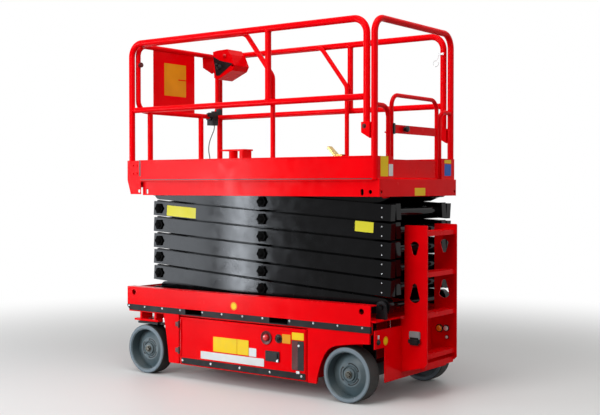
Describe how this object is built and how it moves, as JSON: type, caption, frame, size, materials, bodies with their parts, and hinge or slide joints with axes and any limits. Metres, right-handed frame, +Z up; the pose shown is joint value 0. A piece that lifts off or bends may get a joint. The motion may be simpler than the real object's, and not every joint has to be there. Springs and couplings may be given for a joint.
{
  "type": "scissor lift",
  "caption": "Self-propelled electric scissor lift with a folded stack of crossed arms, a railed platform with a slide-out deck, and a rear ladder.",
  "frame": {"origin": "on the floor below the middle of the machine's box", "axes": "+X to the steered front end, +Y to the left, +Z up"},
  "size_m": [2.52, 1.13, 2.615],
  "materials": {
    "red_paint": "gloss red paint",
    "black_paint": "gloss black paint",
    "black_rubber": "matt black rubber",
    "black_plastic": "black plastic",
    "gold_plating": "yellow passivated steel",
    "tyre": "grey non-marking tyre",
    "rim_paint": "grey paint",
    "chrome_rod": "polished rod",
    "deck_plate": "chequered deck plate",
    "battery_case": "battery case",
    "grey_metal": "grey paint"
  },
  "bodies": {
    "chassis": {"end_plates": "red_paint", "chassis_floor": "red_paint", "side_rails": "red_paint", "fork_pockets": "red_paint", "stack_seats": "red_paint", "bumper_strips": "black_rubber", "side_panels": "red_paint", "equipment_trays": "red_paint", "battery_pack": "battery_case", "hydraulic_unit": "grey_metal", "front_axle": "red_paint", "steering_cylinder": "black_paint", "rear_axle": "black_paint", "ladder": "red_paint"},
    "knuckle_left": {"knuckle_left": "red_paint"},
    "knuckle_right": {"knuckle_right": "red_paint"},
    "steering_rod": {"steering_rod": "chrome_rod"},
    "left_door": {"left_door": "red_paint"},
    "right_door": {"right_door": "red_paint"},
    "platform": {"platform_frame": "red_paint", "main_deck": "deck_plate", "left_guardrail": "red_paint", "right_guardrail": "red_paint", "rear_guard": "red_paint"},
    "gate": {"gate": "red_paint"},
    "slide_out_deck": {"slide_out_deck": "red_paint", "slide_out_guard": "red_paint", "deck_lock": "red_paint", "release_pedal": "gold_plating", "lead_clamp": "black_plastic", "control_lead": "black_rubber", "control_box": "red_paint"},
    "wheel_front_left": {"tyre_front_left": "tyre", "rim_front_left": "rim_paint"},
    "wheel_front_right": {"tyre_front_right": "tyre", "rim_front_right": "rim_paint"},
    "wheel_rear_left": {"tyre_rear_left": "tyre", "rim_rear_left": "rim_paint"},
    "wheel_rear_right": {"tyre_rear_right": "tyre", "rim_rear_right": "rim_paint"},
    "outer_1": {"outer_arms_1": "black_paint"},
    "inner_1": {"inner_arms_1": "black_paint"},
    "outer_2": {"outer_arms_2": "black_paint"},
    "inner_2": {"inner_arms_2": "black_paint"},
    "outer_3": {"outer_arms_3": "black_paint"},
    "inner_3": {"inner_arms_3": "black_paint"},
    "outer_4": {"outer_arms_4": "black_paint"},
    "inner_4": {"inner_arms_4": "black_paint"},
    "outer_5": {"outer_arms_5": "black_paint"},
    "inner_5": {"inner_arms_5": "black_paint"},
    "outer_6": {"outer_arms_6": "black_paint"},
    "inner_6": {"inner_arms_6": "black_paint"},
    "lower_barrel": {"lower_barrel": "black_paint"},
    "lower_rod": {"lower_rod": "chrome_rod"},
    "upper_barrel": {"upper_barrel": "black_paint"},
    "upper_rod": {"upper_rod": "chrome_rod"}
  },
  "joints": [
    {"name": "lift", "type": "hinge", "parent": "chassis", "child": "outer_1", "pos_m": [-1.035, 0, 0.654], "axis": [0, -1, 0], "range_deg": [0, 60]},
    {"name": "inner_2_pivot", "type": "hinge", "parent": "outer_1", "child": "inner_2", "pos_m": [1.0411, 0, 0.7813], "axis": [0, -1, 0], "range_deg": [-120, 0]},
    {"name": "outer_3_pivot", "type": "hinge", "parent": "inner_2", "child": "outer_3", "pos_m": [-1.035, 0, 0.9086], "axis": [0, -1, 0], "range_deg": [0, 120]},
    {"name": "inner_4_pivot", "type": "hinge", "parent": "outer_3", "child": "inner_4", "pos_m": [1.0411, 0, 1.0359], "axis": [0, -1, 0], "range_deg": [-120, 0]},
    {"name": "outer_5_pivot", "type": "hinge", "parent": "inner_4", "child": "outer_5", "pos_m": [-1.035, 0, 1.1632], "axis": [0, -1, 0], "range_deg": [0, 120]},
    {"name": "inner_6_pivot", "type": "hinge", "parent": "outer_5", "child": "inner_6", "pos_m": [1.0411, 0, 1.2905], "axis": [0, -1, 0], "range_deg": [-120, 0]},
    {"name": "inner_1_pivot", "type": "hinge", "parent": "outer_1", "child": "inner_1", "pos_m": [0.00305, 0, 0.71765], "axis": [0, -1, 0], "range_deg": [-120, 0]},
    {"name": "outer_2_pivot", "type": "hinge", "parent": "inner_2", "child": "outer_2", "pos_m": [0.00305, 0, 0.84495], "axis": [0, -1, 0], "range_deg": [0, 120]},
    {"name": "inner_3_pivot", "type": "hinge", "parent": "outer_3", "child": "inner_3", "pos_m": [0.00305, 0, 0.97225], "axis": [0, -1, 0], "range_deg": [-120, 0]},
    {"name": "outer_4_pivot", "type": "hinge", "parent": "inner_4", "child": "outer_4", "pos_m": [0.00305, 0, 1.09955], "axis": [0, -1, 0], "range_deg": [0, 120]},
    {"name": "inner_5_pivot", "type": "hinge", "parent": "outer_5", "child": "inner_5", "pos_m": [0.00305, 0, 1.22685], "axis": [0, -1, 0], "range_deg": [-120, 0]},
    {"name": "outer_6_pivot", "type": "hinge", "parent": "inner_6", "child": "outer_6", "pos_m": [0.00305, 0, 1.35415], "axis": [0, -1, 0], "range_deg": [0, 120]},
    {"name": "platform_pivot", "type": "hinge", "parent": "inner_6", "child": "platform", "pos_m": [-1.035, 0, 1.4178], "axis": [0, -1, 0], "range_deg": [0, 60]},
    {"name": "lower_barrel_pivot", "type": "hinge", "parent": "inner_1", "child": "lower_barrel", "pos_m": [-0.74554, 0, 0.76355], "axis": [0, -1, 0], "range_deg": [0, 128.3]},
    {"name": "lower_rod_slide", "type": "slide", "parent": "lower_barrel", "child": "lower_rod", "axis": [0.9941, 0, 0.1081], "range_m": [0, 0.9679]},
    {"name": "upper_barrel_pivot", "type": "hinge", "parent": "inner_4", "child": "upper_barrel", "pos_m": [-0.74554, 0, 1.14545], "axis": [0, -1, 0], "range_deg": [0, 128.3]},
    {"name": "upper_rod_slide", "type": "slide", "parent": "upper_barrel", "child": "upper_rod", "axis": [0.9941, 0, 0.1081], "range_m": [0, 0.9679]},
    {"name": "steer_left", "type": "hinge", "parent": "chassis", "child": "knuckle_left", "pos_m": [1.055, 0.5015, 0.39], "axis": [0, 0, 1], "range_deg": [-60, 60]},
    {"name": "steer_right", "type": "hinge", "parent": "chassis", "child": "knuckle_right", "pos_m": [1.055, -0.5015, 0.39], "axis": [0, 0, 1], "range_deg": [-60, 60]},
    {"name": "steering_rod_slide", "type": "slide", "parent": "chassis", "child": "steering_rod", "axis": [0, 1, 0], "range_m": [-0.131, 0.131]},
    {"name": "wheel_front_left_spin", "type": "hinge", "parent": "knuckle_left", "child": "wheel_front_left", "pos_m": [1.055, 0.5015, 0.1905], "axis": [0, 1, 0], "continuous": true},
    {"name": "wheel_front_right_spin", "type": "hinge", "parent": "knuckle_right", "child": "wheel_front_right", "pos_m": [1.055, -0.5015, 0.1905], "axis": [0, 1, 0], "continuous": true},
    {"name": "wheel_rear_left_spin", "type": "hinge", "parent": "chassis", "child": "wheel_rear_left", "pos_m": [-0.835, 0.5015, 0.1905], "axis": [0, 1, 0], "continuous": true},
    {"name": "wheel_rear_right_spin", "type": "hinge", "parent": "chassis", "child": "wheel_rear_right", "pos_m": [-0.835, -0.5015, 0.1905], "axis": [0, 1, 0], "continuous": true},
    {"name": "left_door_hinge", "type": "hinge", "parent": "chassis", "child": "left_door", "pos_m": [0.7, 0.554, 0.29], "axis": [0, 0, -1], "range_deg": [0, 110]},
    {"name": "right_door_hinge", "type": "hinge", "parent": "chassis", "child": "right_door", "pos_m": [0.7, -0.554, 0.29], "axis": [0, 0, 1], "range_deg": [0, 110]},
    {"name": "gate_hinge", "type": "hinge", "parent": "platform", "child": "gate", "pos_m": [-1.014, 0.334, 1.8], "axis": [0, 0, 1], "range_deg": [0, 90]},
    {"name": "slide_out", "type": "slide", "parent": "platform", "child": "slide_out_deck", "axis": [1, 0, 0], "range_m": [0, 0.9]}
  ],
  "couplings": [
    {"joint": "inner_2_pivot", "follows": "lift", "ratio": -2},
    {"joint": "outer_3_pivot", "follows": "lift", "ratio": 2},
    {"joint": "inner_4_pivot", "follows": "lift", "ratio": -2},
    {"joint": "outer_5_pivot", "follows": "lift", "ratio": 2},
    {"joint": "inner_6_pivot", "follows": "lift", "ratio": -2},
    {"joint": "inner_1_pivot", "follows": "lift", "ratio": -2},
    {"joint": "outer_2_pivot", "follows": "lift", "ratio": 2},
    {"joint": "inner_3_pivot", "follows": "lift", "ratio": -2},
    {"joint": "outer_4_pivot", "follows": "lift", "ratio": 2},
    {"joint": "inner_5_pivot", "follows": "lift", "ratio": -2},
    {"joint": "outer_6_pivot", "follows": "lift", "ratio": 2},
    {"joint": "platform_pivot", "follows": "lift", "ratio": 1},
    {"joint": "lower_barrel_pivot", "follows": "lift", "ratio": 2.1349},
    {"joint": "lower_rod_slide", "follows": "lift", "m_per_rad": 0.92335},
    {"joint": "upper_barrel_pivot", "follows": "lift", "ratio": 2.1349},
    {"joint": "upper_rod_slide", "follows": "lift", "m_per_rad": 0.92335},
    {"joint": "steer_right", "follows": "steer_left", "ratio": 1},
    {"joint": "steering_rod_slide", "follows": "steer_left", "m_per_rad": -0.12405}
  ]
}
